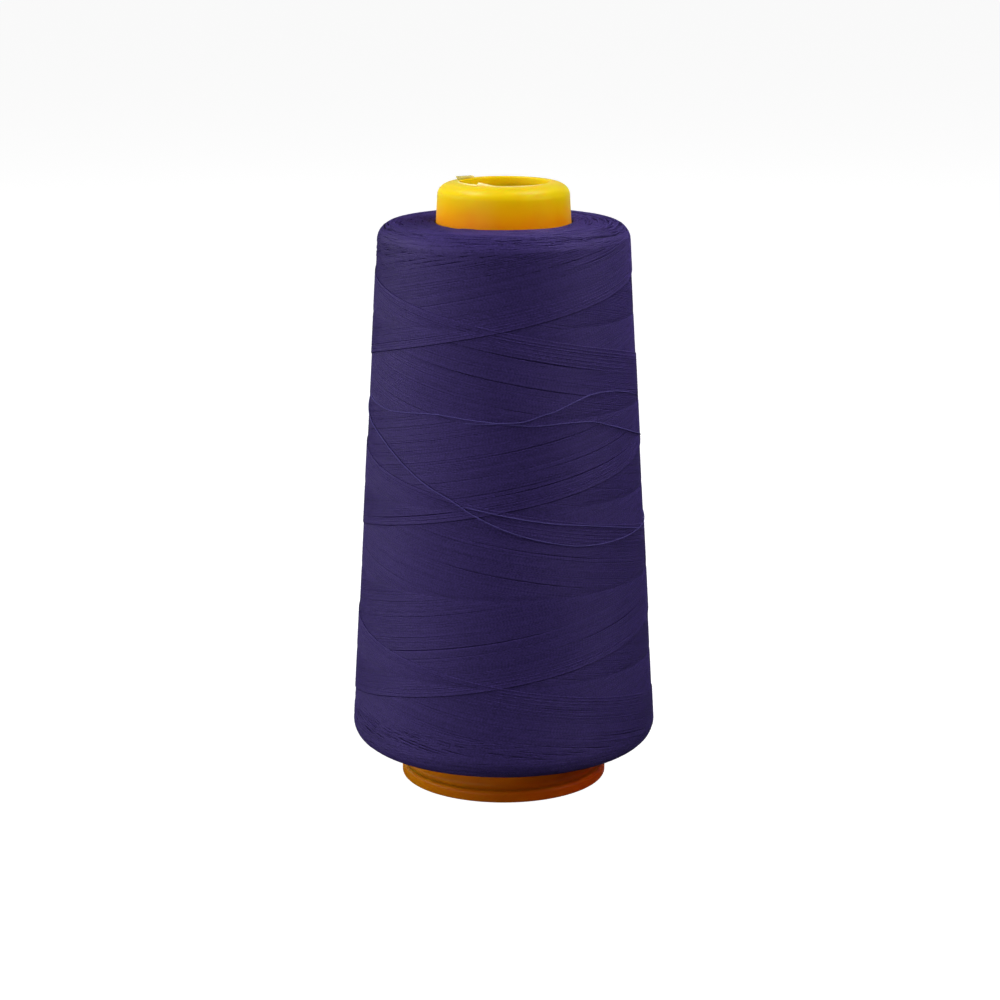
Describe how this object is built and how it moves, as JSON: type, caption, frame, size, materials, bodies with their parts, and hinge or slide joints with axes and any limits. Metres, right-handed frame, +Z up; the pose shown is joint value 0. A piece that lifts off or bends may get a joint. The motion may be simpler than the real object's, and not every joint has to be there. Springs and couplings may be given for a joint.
{
  "type": "sewing thread cone",
  "caption": "Tapered package of dark violet sewing thread, cross-wound on a yellow moulded cone with a rounded open nose and a rimmed foot.",
  "frame": {"origin": "centre of the foot's underside, on the cone's axis", "axes": "+Z up along the cone's axis, towards its open nose; -Y towards the viewer, at the side where the last turns laid cross"},
  "size_m": [0.0861, 0.0862, 0.17],
  "materials": {
    "thread": "matte",
    "cone_plastic": "satin"
  },
  "bodies": {
    "root": {"cone": "cone_plastic", "thread_package": "thread"}
  },
  "joints": []
}
